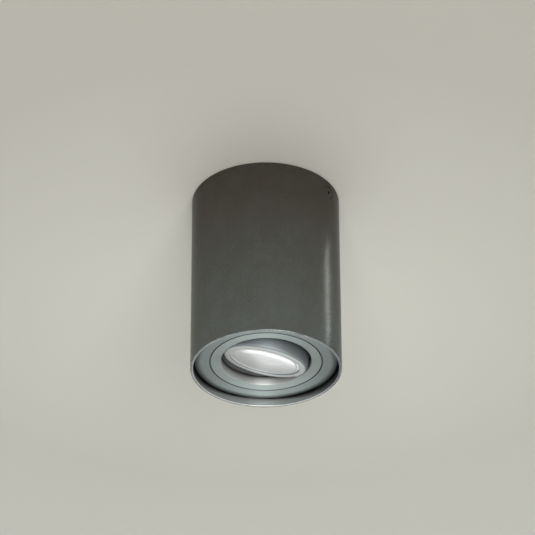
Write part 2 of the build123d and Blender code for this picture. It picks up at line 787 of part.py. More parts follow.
lens_r = lamp_r - lens_margin
lens_back_h = lamp_face_h + lens_thickness
neck_r = lamp_r - lamp_rim_step
optic_r = neck_r - lamp_wall
board_floor_h = lens_back_h + optic_depth
driver_floor_h = board_floor_h + lamp_web_height
base_h = lamp_face_h + lamp_body_length
base_r = lamp_base_diameter / 2
spigot_h = base_h - spigot_length
driver_neck_r = base_r - base_wall
driver_wide_r = neck_r - 2 * base_wall - press_gap
spigot_inner_r = driver_neck_r - base_wall / 2
driver_board_width = 2 * (spigot_inner_r - driver_gap)
wire_hole_r = lamp_pin_neck_diameter / 2

with BuildPart() as lamp_body:
    with BuildSketch(head_section):
        with BuildLine():
            back = ThreePointArc(
                (neck_r, groove_top_h),
                ((neck_r + base_r) / 2 + lamp_back_bulge, (groove_top_h + base_h) / 2),
                (base_r, base_h),
            )
            Polyline(
                back @ 0,
                (neck_r, lamp_rim_h),
                (lamp_r, lamp_rim_h),
                (lamp_r, lamp_face_h),
                (lens_r + press_gap, lamp_face_h),
                (lens_r + press_gap, lens_back_h),
                (optic_r, lens_back_h),
                (optic_r, board_floor_h),
                (wire_hole_r, board_floor_h),
                (wire_hole_r, driver_floor_h),
                (driver_wide_r, driver_floor_h),
                (driver_neck_r, spigot_h),
                (driver_neck_r, base_h),
                back @ 1,
            )
        make_face()
    revolve(axis=head_axis)

with BuildPart() as lamp_lens:
    with BuildSketch(head_section):
        with BuildLine():
            crown_edge = (opening_r - lamp_gap, lamp_face_h)
            TangentArc((0, lamp_face_h - lens_crown), crown_edge, tangent=(1, 0))
            Polyline(
                crown_edge,
                (lens_r, lamp_face_h),
                (lens_r, lens_back_h),
                (0, lens_back_h),
                (0, lamp_face_h - lens_crown),
            )
        make_face()
    revolve(axis=head_axis)

with BuildPart() as lamp_led_board:
    with BuildSketch(head_plane.offset(board_floor_h)):
        Circle(optic_r - press_gap)
        Circle(wire_hole_r, mode=Mode.SUBTRACT)
    extrude(amount=-board_thickness)
    with BuildSketch(head_plane.offset(board_floor_h - board_thickness)):
        with PolarLocations(chip_circle_diameter / 2, chip_count):
            Rectangle(chip_width, chip_width)
    extrude(amount=-chip_height)

with BuildPart() as lamp_driver_board:
    with BuildSketch(head_plane.offset(driver_floor_h)):
        Rectangle(driver_board_width, board_thickness)
    extrude(amount=driver_board_length)
    with BuildSketch(head_plane.offset(driver_floor_h + board_thickness)):
        with Locations((0, capacitor_diameter / 2)):
            Circle(capacitor_diameter / 2)
    extrude(amount=capacitor_length)
    with BuildSketch(head_plane.offset(driver_floor_h + board_thickness)):
        with Locations((0, -board_thickness)):
            Rectangle(driver_board_width / 2, board_thickness)
    extrude(amount=driver_board_length / 2)

pin_half_spacing = lamp_pin_spacing / 2
lamp_pin_points = [(-pin_half_spacing, 0), (pin_half_spacing, 0)]
base_end_h = base_h + lamp_base_length
base_floor_h = base_end_h - base_wall
pin_neck_r = lamp_pin_neck_diameter / 2

with BuildPart() as lamp_base:
    with BuildSketch(head_section):
        with BuildLine():
            Polyline(
                (driver_neck_r - press_gap, spigot_h),
                (driver_neck_r - press_gap, base_h),
                (base_r, base_h),
                (base_r, base_end_h),
                (0, base_end_h),
                (0, base_floor_h),
                (spigot_inner_r, base_floor_h),
                (spigot_inner_r, spigot_h),
                close=True,
            )
        make_face()
    revolve(axis=head_axis)
    fillet(lamp_base.edges().group_by(head_axis)[-1], radius=base_rounding)
    with BuildSketch(head_plane.offset(base_end_h)):
        with Locations(*lamp_pin_points):
            Circle(pin_neck_r + press_gap)
    extrude(amount=-base_wall, mode=Mode.SUBTRACT)

pin_head_h = base_end_h + lamp_pin_neck_length
pin_end_h = pin_head_h + lamp_pin_head_length

with BuildPart() as lamp_pins:
    with BuildSketch(head_plane.offset(base_floor_h - base_wall / 2)):
        with Locations(*lamp_pin_points):
            Circle(lamp_pin_inner_diameter / 2)
    extrude(amount=base_wall / 2)
    with BuildSketch(head_plane.offset(base_floor_h)):
        with Locations(*lamp_pin_points):
            Circle(pin_neck_r)
    extrude(amount=pin_head_h - base_floor_h)
    with BuildSketch(head_plane.offset(pin_head_h)):
        with Locations(*lamp_pin_points):
            Circle(lamp_pin_head_diameter / 2)
    extrude(amount=lamp_pin_head_length)

# ---- Lampholder --------------------------------------------------------------------------------

holder_h = base_end_h + slip_gap
holder_floor = lamp_pin_neck_length - slip_gap - key_play
chamber_h = holder_h + holder_floor
roof_h = chamber_h + holder_chamber
holder_top_h = holder_h + holder_height
key_r = lamp_pin_head_diameter / 2 + key_gap
chamber_outer_r = pin_half_spacing + key_r + chamber_margin
chamber_inner_r = pin_half_spacing - key_r - chamber_margin
lead_hole_r = supply_lead_diameter / 2 + press_gap

keyholes = [CenterArc((0, 0), pin_half_spacing, start, keyhole_turn) for start in (0, 180)]

with BuildPart() as lampholder:
    with BuildSketch(head_plane.offset(holder_h)):
        Circle(holder_diameter / 2)
        Rectangle(holder_diameter, holder_width, mode=Mode.INTERSECT)
    extrude(amount=holder_height)
    chamfer(lampholder.edges().group_by(head_axis)[-1], length=holder_chamfer)
    with BuildSketch(head_plane.offset(chamber_h)):
        Circle(chamber_outer_r)
        Circle(chamber_inner_r, mode=Mode.SUBTRACT)
    extrude(amount=holder_chamber, mode=Mode.SUBTRACT)
    with BuildSketch(head_plane.offset(base_end_h)):
        for keyhole in keyholes:
            SlotArc(keyhole, lamp_pin_neck_diameter + 2 * key_gap)
            with Locations(keyhole @ 1):
                Circle(key_r)
    extrude(amount=lamp_pin_neck_length, mode=Mode.SUBTRACT)
    with BuildSketch(head_plane.offset(chamber_h + holder_chamber / 2)):
        with Locations(*lamp_pin_points):
            Circle(lead_hole_r)
    extrude(amount=holder_height, mode=Mode.SUBTRACT)

# Each contact is a C-shaped strip between the chamber's roof and the end of a lamp pin.
contact_height = roof_h - pin_end_h - press_gap
contact_length = lamp_pin_head_diameter
contact_middle_h = roof_h - contact_height / 2

with BuildPart() as lampholder_contacts:
    for side in (-1, 1):
        contact_start = side * pin_half_spacing - contact_width / 2
        strip_plane = Plane(
            origin=pivot + tilt_axis * contact_start, x_dir=head_up.cross(tilt_axis), z_dir=tilt_axis
        )
        with BuildSketch(strip_plane):
            with Locations((0, contact_middle_h)):
                Rectangle(contact_length, contact_height)
            with Locations((contact_thickness, contact_middle_h)):
                Rectangle(contact_length, contact_height - 2 * contact_thickness, mode=Mode.SUBTRACT)
        extrude(amount=contact_width)

# ---- Leads ---------------------------------------------------------------------------------------


def terminal_start(pole):
    """Where a lead ends inside its sleeve, on the side of the lamp."""
    return Vector(pole_xs[pole], block_far_y - sleeve_recess - lead_insertion, sleeve_z)


def holder_entry(side, height):
    """Point above or inside one of the lampholder's lead holes."""
    return pivot + tilt_axis * side * pin_half_spacing + head_up * height


lead_approach_h = holder_top_h + lead_straight

live_points = [
    terminal_start(0),
    Vector(pole_xs[0], 33.6, sleeve_z),
    Vector(-9.6, 38.6, -17.0),
    Vector(-8.6, 33.4, -25.6),
    Vector(-3.0, 16.0, -31.5),
    Vector(3.5, -1.0, -33.5),
    holder_entry(-1, lead_approach_h),
    holder_entry(-1, roof_h),
]
neutral_points = [
    terminal_start(1),
    Vector(pole_xs[1], 33.6, sleeve_z),
    Vector(0.5, 38.5, -17.0),
    Vector(0.2, 33.4, -25.4),
    Vector(5.5, 17.0, -29.8),
    Vector(11.5, 1.5, -32.0),
    holder_entry(1, lead_approach_h),
    holder_entry(1, roof_h),
]
earth_points = [
    terminal_start(2),
    Vector(pole_xs[2], 32.8, sleeve_z),
    Vector(16.5, 37.2, -6.5),
    Vector(earth_x, 32.8, barrel_z),
    Vector(earth_x, barrel_far_y - tag_insertion, barrel_z),
]

with BuildPart() as live_lead:
    with BuildLine() as live_path:
        FilletPolyline(*live_points, radius=bend_radii(live_points))
    with BuildSketch(live_path.line ^ 0):
        Circle(supply_lead_diameter / 2)
    sweep()

with BuildPart() as neutral_lead:
    with BuildLine() as neutral_path:
        FilletPolyline(*neutral_points, radius=bend_radii(neutral_points))
    with BuildSketch(neutral_path.line ^ 0):
        Circle(supply_lead_diameter / 2)
    sweep()

with BuildPart() as earth_lead:
    with BuildLine() as earth_path:
        FilletPolyline(*earth_points, radius=bend_radii(earth_points))
    with BuildSketch(earth_path.line ^ 0):
        Circle(earth_lead_diameter / 2)
    sweep()

for name, lead, path, diameter, points in (
    ("live lead", live_lead, live_path, supply_lead_diameter, live_points),
    ("neutral lead", neutral_lead, neutral_path, supply_lead_diameter, neutral_points),
    ("earth lead", earth_lead, earth_path, earth_lead_diameter, earth_points),
):
    report_lead(name, lead.part, path.wire().length, diameter, bend_radii(points))

# ---- Labels and files ----------------------------------------------------------------------------

pieces = {
    "housing_tube": housing_tube,
    "face_plate": face_plate,
    "rotation_stop_pin": rotation_stop_pin,
    "ceiling_plate": ceiling_plate,
    "side_screws": side_screws,
    "clinch_nuts": clinch_nuts,
    "cable_grommet": cable_grommet,
    "terminal_block": terminal_block,
    "terminal_sleeves": terminal_sleeves,
    "terminal_screws": terminal_screws,
    "terminal_block_screws": terminal_block_screws,
    "earth_tag": earth_tag,
    "earth_screw": earth_screw,
    "earth_lead": earth_lead,
    "live_lead": live_lead,
    "neutral_lead": neutral_lead,
    "swivel_ring": swivel_ring,
    "pivot_pins": pivot_pins,
    "pivot_washers": pivot_washers,
    "retention_springs": retention_springs,
    "spring_rivets": spring_rivets,
    "rotation_stop_tab": rotation_stop_tab,
    "stop_tab_screw": stop_tab_screw,
    "head_cup": head_cup,
    "lamp_retaining_ring": lamp_retaining_ring,
    "lamp_body": lamp_body,
    "lamp_lens": lamp_lens,
    "lamp_led_board": lamp_led_board,
    "lamp_driver_board": lamp_driver_board,
    "lamp_base": lamp_base,
    "lamp_pins": lamp_pins,
    "lampholder": lampholder,
    "lampholder_contacts": lampholder_contacts,
}
for name, piece in pieces.items():
    piece.part.label = name
    export_step(piece.part, f"parts/{name}.step")
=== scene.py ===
"""Surface mounted ceiling spotlight: looks, camera and studio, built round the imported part."""

from math import cos, pi, radians, sin

import bmesh
import bpy
from mathutils import Matrix, Vector


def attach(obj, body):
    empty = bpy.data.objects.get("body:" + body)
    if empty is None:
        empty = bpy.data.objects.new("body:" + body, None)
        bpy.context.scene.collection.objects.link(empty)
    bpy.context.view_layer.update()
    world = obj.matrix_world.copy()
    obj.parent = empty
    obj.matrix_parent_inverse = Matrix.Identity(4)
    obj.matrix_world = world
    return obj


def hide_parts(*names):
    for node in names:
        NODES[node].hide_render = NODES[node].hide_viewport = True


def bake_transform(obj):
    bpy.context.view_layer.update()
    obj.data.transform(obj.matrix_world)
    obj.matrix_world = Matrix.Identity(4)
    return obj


bl_info = {
    "name": "Ceiling spotlight",
    "version": (1, 0, 0),
    "blender": (4, 5, 0),
    "location": "3D View > Sidebar > Spotlight",
    "description": "Finishes, fixings, lens, leads and studio for a surface mounted ceiling spotlight",
    "category": "Object",
}

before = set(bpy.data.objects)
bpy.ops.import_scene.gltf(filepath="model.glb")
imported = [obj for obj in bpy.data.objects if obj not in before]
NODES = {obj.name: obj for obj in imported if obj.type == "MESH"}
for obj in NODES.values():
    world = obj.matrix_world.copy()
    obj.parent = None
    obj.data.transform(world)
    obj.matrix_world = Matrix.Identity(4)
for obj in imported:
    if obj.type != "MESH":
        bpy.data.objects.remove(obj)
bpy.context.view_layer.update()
MM = 0.001

# Places that the pieces share with the part, in metres
PIVOT = Vector((0.0, 0.0, -0.1153))
TILT_AXIS = Vector((cos(radians(45)), sin(radians(45)), 0.0))
HEAD_TURN = Matrix.Rotation(radians(16.9), 4, TILT_AXIS)
HEAD_FRAME = Matrix.Translation(PIVOT) @ HEAD_TURN @ Matrix.Rotation(radians(45), 4, "Z")
RIM_Z = -0.126
TUBE_R = 0.048

# Circles where shade is painted into corners and gaps, as radius and height
PLATE_CORNER = (0.0462, -0.1205)  # the face plate meets the tube's wall
RING_GROOVE = (0.0355, -0.1205)  # the ring meets the face plate
HEAD_GAP = (0.0288, -0.1143)  # the ring's bore beside the head

# Mesh settings
MERGE = 1e-6
SMOOTH_BELOW = radians(32)

# Colours that no setting changes
UNLIT = (0.008, 0.008, 0.007)
# painted shade: the near-black colour put in corners, grooves and gaps
PAINTED_SHADE = (0.004, 0.005, 0.005)
DUST = (0.45, 0.44, 0.41)
LENS_RIM = (0.74, 0.75, 0.76)


# ---- Settings ---------------------------------------------------------------------------------


def length(name, description, default):
    return bpy.props.FloatProperty(
        name=name, description=description, default=default, unit="LENGTH", precision=5
    )


def factor(name, description, default, top=1.0):
    return bpy.props.FloatProperty(
        name=name, description=description, default=default, min=0.0, max=top, subtype="FACTOR"
    )


def colour(name, description, default):
    return bpy.props.FloatVectorProperty(
        name=name, description=description, default=default, size=3, subtype="COLOR", min=0.0, max=1.0
    )


class SpotLacquer(bpy.types.PropertyGroup):
    """Satin metallic lacquer of the tube, the face plate, the ring and the head"""

    tube: colour("Tube", "Lacquer on the tube", (0.118, 0.116, 0.108))
    plate: colour("Face plate", "Lacquer on the face plate", (0.288, 0.322, 0.318))
    ring: colour("Ring", "Lacquer on the turning ring", (0.355, 0.397, 0.386))
    head: colour("Head", "Lacquer on the lamp head", (0.42, 0.45, 0.46))
    turned: colour("Turned faces", "Bare turned faces inside the openings", (0.6, 0.61, 0.595))
    # bare metal of worn edges, also used for a painted highlight along the rim
    worn: colour("Worn edge and painted highlight", "Bare metal along the worn edges", (0.55, 0.57, 0.57))
    metallic: factor("Metallic", "How metallic the lacquer looks", 0.85)
    roughness: factor("Roughness", "Mean roughness of the lacquer", 0.42)
    grain: length("Grain", "Size of the lacquer's grain", 0.0004)


class SpotLens(bpy.types.PropertyGroup):
    """Front lens of the lamp"""

    radius: length("Radius", "Lens radius", 0.0236)
    clear_radius: length("Frosted radius", "Radius of the frosted middle", 0.0205)
    back_height: length("Back", "Lens back above the pivot along the head's axis", -0.00245)
    face_height: length("Face", "Lens edge above the pivot along the head's axis", -0.00405)
    crown: length("Crown", "Bulge of the lens", 0.0005)
    frosted: colour("Frosted", "Frosted middle", (0.78, 0.78, 0.78))


class SpotScrews(bpy.types.PropertyGroup):
    """Countersunk socket screws in the side of the tube"""

    azimuth: bpy.props.FloatProperty(
        name="Azimuth", description="Direction of the first screw", default=radians(-31), subtype="ANGLE"
    )
    height: length("Height", "Screw axis below the ceiling", -0.008)
    inset: length("Inset", "Head below the tube's surface", 0.0003)
    head: length("Head", "Head radius", 0.0039)
    shank: length("Shank", "Thread radius", 0.002)
    reach: length("Length", "Length over all", 0.009)
    socket: length("Socket", "Hexagon across flats", 0.0025)
    depth: length("Socket depth", "Depth of the hexagon", 0.0014)
    pitch: length("Pitch", "Thread pitch", 0.0007)


class SpotLeads(bpy.types.PropertyGroup):
    """Insulated leads between the terminal block, the earth tag and the lampholder"""

    supply: length("Supply lead", "Diameter of the live and neutral leads", 0.0024)
    earth: length("Earth lead", "Diameter of the earth lead", 0.0022)
    live_colour: colour("Live", "Brown insulation", (0.16, 0.07, 0.035))
    neutral_colour: colour("Neutral", "Blue insulation", (0.04, 0.13, 0.38))
    earth_colour: colour("Earth", "Green insulation", (0.05, 0.26, 0.06))
    earth_stripe: colour("Earth stripe", "Yellow stripe", (0.75, 0.62, 0.04))


class SpotStudio(bpy.types.PropertyGroup):
    """Ceiling, floor, lamps and camera"""

    # painted light: the ceiling darker by the camera and paler behind the light
    ceiling: colour("Ceiling", "Matt ceiling paint by the camera", (0.6, 0.575, 0.51))
    ceiling_far: colour("Far ceiling", "Matt ceiling paint behind the light", (0.82, 0.8, 0.73))
    floor: colour("Floor", "Pale floor and surroundings", (0.72, 0.73, 0.72))
    drop: length("Floor drop", "Floor below the ceiling", 2.4)
    world: colour("World", "Light from all round", (0.95, 0.97, 0.98))
    world_strength: factor("World strength", "Strength of the light from all round", 0.3, 4.0)
    key: factor("Key", "Power of the soft lamp by the camera", 41.0, 200.0)
    fill: factor("Fill", "Power of the soft lamp below", 11.0, 200.0)
    window: factor("Window", "Power of the small lamp behind the object", 0.57, 200.0)
    side: factor("Side", "Power of the small lamp on the right", 0.0008, 200.0)


# ---- Mesh helpers -----------------------------------------------------------------------------


def fresh():
    """Leaves nothing selected, so that an operator acts on its own piece only."""
    if bpy.context.object and bpy.context.object.mode != "OBJECT":
        bpy.ops.object.mode_set(mode="OBJECT")
    bpy.ops.object.select_all(action="DESELECT")


def named(name):
    """Gives the piece just made its name."""
    piece = bpy.context.object
    piece.name = piece.data.name = name
    return piece


def only(piece):
    """Selects one piece and makes it the active one."""
    fresh()
    piece.select_set(True)
    bpy.context.view_layer.objects.active = piece


def settle(piece, matrix=None):
    """Puts the piece's place into its mesh, with its faces outwards."""
    only(piece)
    if matrix is not None:
        piece.matrix_world = matrix @ piece.matrix_world
    bpy.ops.object.transform_apply(location=True, rotation=True, scale=True)
    bpy.ops.object.mode_set(mode="EDIT")
    bpy.ops.mesh.select_all(action="SELECT")
    bpy.ops.mesh.remove_doubles(threshold=MERGE)
    bpy.ops.mesh.normals_make_consistent(inside=False)
    bpy.ops.object.mode_set(mode="OBJECT")
    bpy.ops.object.shade_smooth_by_angle(angle=SMOOTH_BELOW)
    return piece


def pick(piece, wanted):
    """Selects the faces whose normal passes the test, and stays in edit mode."""
    bpy.ops.object.mode_set(mode="EDIT")
    bpy.ops.mesh.select_mode(type="FACE")
    bpy.ops.mesh.select_all(action="DESELECT")
    mesh = bmesh.from_edit_mesh(piece.data)
    for face in mesh.faces:
        face.select_set(wanted(face.normal))
    bmesh.update_edit_mesh(piece.data)


def turned(name, outline, steps=96):
    """A closed piece spun about Z from (radius, height) points, the way a lathe makes it."""
    fresh()
    bpy.ops.mesh.primitive_plane_add(size=MM, location=(0, 0, 0))
    piece = named(name)
    bpy.ops.object.mode_set(mode="EDIT")
    mesh = bmesh.from_edit_mesh(piece.data)
    bmesh.ops.delete(mesh, geom=mesh.verts[:], context="VERTS")
    verts = [mesh.verts.new((r, 0, z)) for r, z in outline]
    for a, b in zip(verts, verts[1:]):
        mesh.edges.new((a, b))
    bmesh.update_edit_mesh(piece.data)
    bpy.ops.mesh.select_all(action="SELECT")
    bpy.ops.mesh.spin(steps=steps, angle=2 * pi, center=(0, 0, 0), axis=(0, 0, 1))
    bpy.ops.mesh.select_all(action="SELECT")
    bpy.ops.mesh.remove_doubles(threshold=MERGE)
    bpy.ops.object.mode_set(mode="OBJECT")
    return piece


def coat(mesh, material):
    """Gives a mesh its only material."""
    mesh.materials.clear()
    mesh.materials.append(material)


# ---- Material helpers -------------------------------------------------------------------------


def node(tree, kind, inputs=(), **settings):
    """Adds a node, sets its settings, and fills or links its inputs by name or number."""
    made = tree.nodes.new(kind)
    for key, value in settings.items():
        setattr(made, key, value)
    for key, value in dict(inputs).items():
        socket = made.inputs[key]
        if isinstance(value, bpy.types.NodeSocket):
            tree.links.new(value, socket)
        elif socket.type == "RGBA" and len(value) == 3:
            socket.default_value = (*value, 1.0)
        else:
            socket.default_value = value
    return made


def calc(tree, operation, a, b=0.0, c=0.0, clamp=False):
    """Arithmetic on one to three numbers."""
    return node(
        tree, "ShaderNodeMath", {0: a, 1: b, 2: c}, operation=operation, use_clamp=clamp
    ).outputs[0]


def vary(tree, value, spread, low):
    """A low end plus the value times a spread."""
    return calc(tree, "MULTIPLY_ADD", value, spread, low)


def split(tree, vector):
    """The X, Y and Z of a vector."""
    return node(tree, "ShaderNodeSeparateXYZ", {0: vector}).outputs


def joined(tree, x, y, z):
    """A vector from its X, Y and Z."""
    return node(tree, "ShaderNodeCombineXYZ", {0: x, 1: y, 2: z}).outputs[0]


def radius_of(tree, parts):
    """Distance from the Z axis."""
    flat = joined(tree, parts[0], parts[1], 0.0)
    return node(tree, "ShaderNodeVectorMath", {0: flat}, operation="LENGTH").outputs["Value"]


def scaled(tree, tint, factor):
    """A colour times a number."""
    return node(tree, "ShaderNodeVectorMath", {0: tint, 3: factor}, operation="SCALE").outputs[0]


def blend_colour(tree, mask, a, b):
    """Colour a where the mask is 0, and colour b where it is 1."""
    mixed = node(tree, "ShaderNodeMix", {"Factor": mask, 6: a, 7: b}, data_type="RGBA")
    return mixed.outputs[2]


def mix_shaders(tree, mask, a, b):
    """Shader a where the mask is 0, and shader b where it is 1."""
    return node(tree, "ShaderNodeMixShader", {0: mask, 1: a.outputs[0], 2: b.outputs[0]}).outputs[0]


def ramp(tree, value, start, end, low=0.0, high=1.0):
    """Runs from low to high while the value runs from start to end, and stays level beyond."""
    limits = {"From Min": start, "From Max": end, "To Min": low, "To Max": high}
    return node(tree, "ShaderNodeMapRange", {"Value": value, **limits}).outputs[0]


def bumped(tree, bsdf, height, strength, distance):
    """Fine relief on a finish."""
    bump = node(
        tree, "ShaderNodeBump", {"Height": height, "Strength": strength, "Distance": distance}
    )
    tree.links.new(bump.outputs[0], bsdf.inputs["Normal"])


def effect(name, numbers, results, build):
    """A shared effect as a node group: a place and named numbers in, named numbers out."""
    tree = bpy.data.node_groups.new(name, "ShaderNodeTree")
    tree.interface.new_socket("Vector", in_out="INPUT", socket_type="NodeSocketVector")
    for label, default in numbers.items():
        socket = tree.interface.new_socket(label, in_out="INPUT", socket_type="NodeSocketFloat")
        socket.default_value = default
    for label in results:
        tree.interface.new_socket(label, in_out="OUTPUT", socket_type="NodeSocketFloat")
    inside = tree.nodes.new("NodeGroupInput").outputs
    made = build(tree, {label: inside[label] for label in ("Vector", *numbers)})
    leaving = tree.nodes.new("NodeGroupOutput").inputs
    for label, socket in made.items():
        tree.links.new(socket, leaving[label])


def use(tree, group, inputs):
    """Places a shared effect in a finish and returns its outputs."""
    return node(tree, "ShaderNodeGroup", inputs, node_tree=bpy.data.node_groups[group]).outputs


def surface(name, **numbers):
    """An empty material with one Principled BSDF. Returns the material, its tree and the shader."""
    made = bpy.data.materials.new(name)
    made.use_nodes = True
    tree = made.node_tree
    tree.nodes.clear()
    bsdf = tree.nodes.new("ShaderNodeBsdfPrincipled")
    out = tree.nodes.new("ShaderNodeOutputMaterial")
    tree.links.new(bsdf.outputs[0], out.inputs[0])
    for key, value in numbers.items():
        bsdf.inputs[key.replace("_", " ")].default_value = value
    return made, tree, bsdf


def place(tree, matrix=None):
    """Object coordinates in metres, or in the frame of a tilted piece."""
    coordinates = tree.nodes.new("ShaderNodeTexCoord").outputs["Object"]
    if matrix is None:
        return coordinates
    at, turn, _ = matrix.decompose()
    return node(
        tree,
        "ShaderNodeMapping",
        {"Vector": coordinates, "Location": at, "Rotation": turn.to_euler()},
        vector_type="TEXTURE",
    ).outputs[0]


def noise(tree, vector, scale, detail=3.0, roughness=0.55):
    """Noise from 0 to 1."""
    return node(
        tree,
        "ShaderNodeTexNoise",
        {"Vector": vector, "Scale": scale, "Detail": detail, "Roughness": roughness},
    ).outputs["Fac"]


def build_effects():
    """Grain, drawn lines, turned rings, worn edges with a painted highlight, painted shade in crevices,
    and dust, shared by the finishes.
    """

    def grain(tree, ins):
        """Fine grain as a height, and a broad mottle round 0.5."""
        fine = noise(tree, ins["Vector"], ins["Scale"], 2.0)
        coarser = 34.0
        broad = noise(tree, ins["Vector"], calc(tree, "DIVIDE", ins["Scale"], coarser), 4.0)
        mottled = calc(tree, "SUBTRACT", broad, 0.5)
        return {"Height": fine, "Mottle": vary(tree, mottled, ins["Amount"], 0.5)}

    effect("Lacquer grain", {"Scale": 2500.0, "Amount": 1.0}, ("Height", "Mottle"), grain)

    def drawn(tree, ins):
        """Lines along the axis: noise that changes round it and hardly along it."""
        parts = split(tree, ins["Vector"])
        angle = calc(tree, "ARCTAN2", parts[1], parts[0])
        along = calc(tree, "MULTIPLY", parts[2], 0.9)
        around = joined(tree, calc(tree, "COSINE", angle), calc(tree, "SINE", angle), along)
        return {"Height": noise(tree, around, ins["Scale"], 5.0, 0.7)}

    effect("Drawn lines", {"Scale": 30.0}, ("Height",), drawn)

    def rings(tree, ins):
        """Rings round the axis, and the distance from it."""
        radius = radius_of(tree, split(tree, ins["Vector"]))
        line = joined(tree, radius, 0.0, 0.0)
        return {"Height": noise(tree, line, ins["Scale"], 3.0, 0.6), "Radius": radius}

    effect("Turned rings", {"Scale": 2600.0}, ("Height", "Radius"), rings)

    def worn(tree, ins):
        """1 on an edge at a height, broken up by noise, falling off over a width: worn bare metal, also
        a painted highlight along the edge.
        """
        away = calc(
            tree, "ABSOLUTE", calc(tree, "SUBTRACT", split(tree, ins["Vector"])[2], ins["Height"])
        )
        near = calc(tree, "SUBTRACT", 1.0, calc(tree, "DIVIDE", away, ins["Width"]), clamp=True)
        patchy = noise(tree, ins["Vector"], 210.0, 6.0, 0.7)
        contrast, cut = 1.4, 1.45
        mask = vary(tree, patchy, contrast, calc(tree, "SUBTRACT", near, cut))
        return {"Mask": calc(tree, "MULTIPLY", mask, ins["Amount"], clamp=True)}

    effect("Worn edge and painted highlight", {"Height": 0.0, "Width": 0.001, "Amount": 4.0}, ("Mask",), worn)

    def crevice(tree, ins):
        """Painted shade: 1 in a round corner at a radius and height, falling off over a width, a little
        uneven.

        With Sides above 0, the width is larger towards both X directions than towards Y, where it stands
        for a painted dark reflection.
        """
        lean = 0.12  # moves the wider parts a little to one side
        reach = 0.001  # nothing is darkened farther out than this from the corner

        def times(a, b):
            return calc(tree, "MULTIPLY", a, b)

        parts = split(tree, ins["Vector"])
        radius = radius_of(tree, parts)
        out = calc(tree, "SUBTRACT", radius, ins["Radius"])
        down = calc(tree, "SUBTRACT", parts[2], ins["Height"])
        away = calc(tree, "SQRT", calc(tree, "ADD", times(out, out), times(down, down)))
        across = calc(tree, "ADD", calc(tree, "DIVIDE", parts[0], radius), lean)
        wider = times(times(across, across), ins["Sides"])
        level = calc(tree, "SUBTRACT", 1.0, ins["Sides"])
        width = times(ins["Width"], calc(tree, "ADD", wider, level))
        near = calc(tree, "SUBTRACT", 1.0, calc(tree, "DIVIDE", away, width), clamp=True)
        uneven = vary(tree, noise(tree, ins["Vector"], 120.0, 4.0), 0.3, 0.85)
        soft = calc(tree, "POWER", near, ins["Sharpness"])
        soft = times(soft, calc(tree, "LESS_THAN", out, reach))
        return {"Mask": calc(tree, "MULTIPLY", times(soft, uneven), ins["Amount"], clamp=True)}

    corner = {"Radius": 0.046, "Height": 0.0, "Sides": 0.0, "Width": 0.004, "Sharpness": 1.0}
    effect("Painted crevice shade", {**corner, "Amount": 0.8}, ("Mask",), crevice)

    def dust(tree, ins):
        """Fine specks that gather on faces that look up."""
        up = split(tree, tree.nodes.new("ShaderNodeNewGeometry").outputs["Normal"])[2]
        speck = noise(tree, ins["Vector"], 900.0, 6.0, 0.75)
        lying = calc(tree, "MULTIPLY", calc(tree, "MAXIMUM", up, 0.0), ins["Amount"])
        return {"Mask": calc(tree, "MULTIPLY", speck, lying, clamp=True)}

    effect("Dust", {"Amount": 0.3}, ("Mask",), dust)


def painted_shade_at(circle, width, sharpness, sides=0.0):
    """Numbers of the crevice shade effect for one of the circles where shade is painted."""
    radius, height = circle
    numbers = {"Radius": radius, "Height": height, "Width": width, "Sharpness": sharpness}
    return {**numbers, "Amount": 1.0, "Sides": sides}


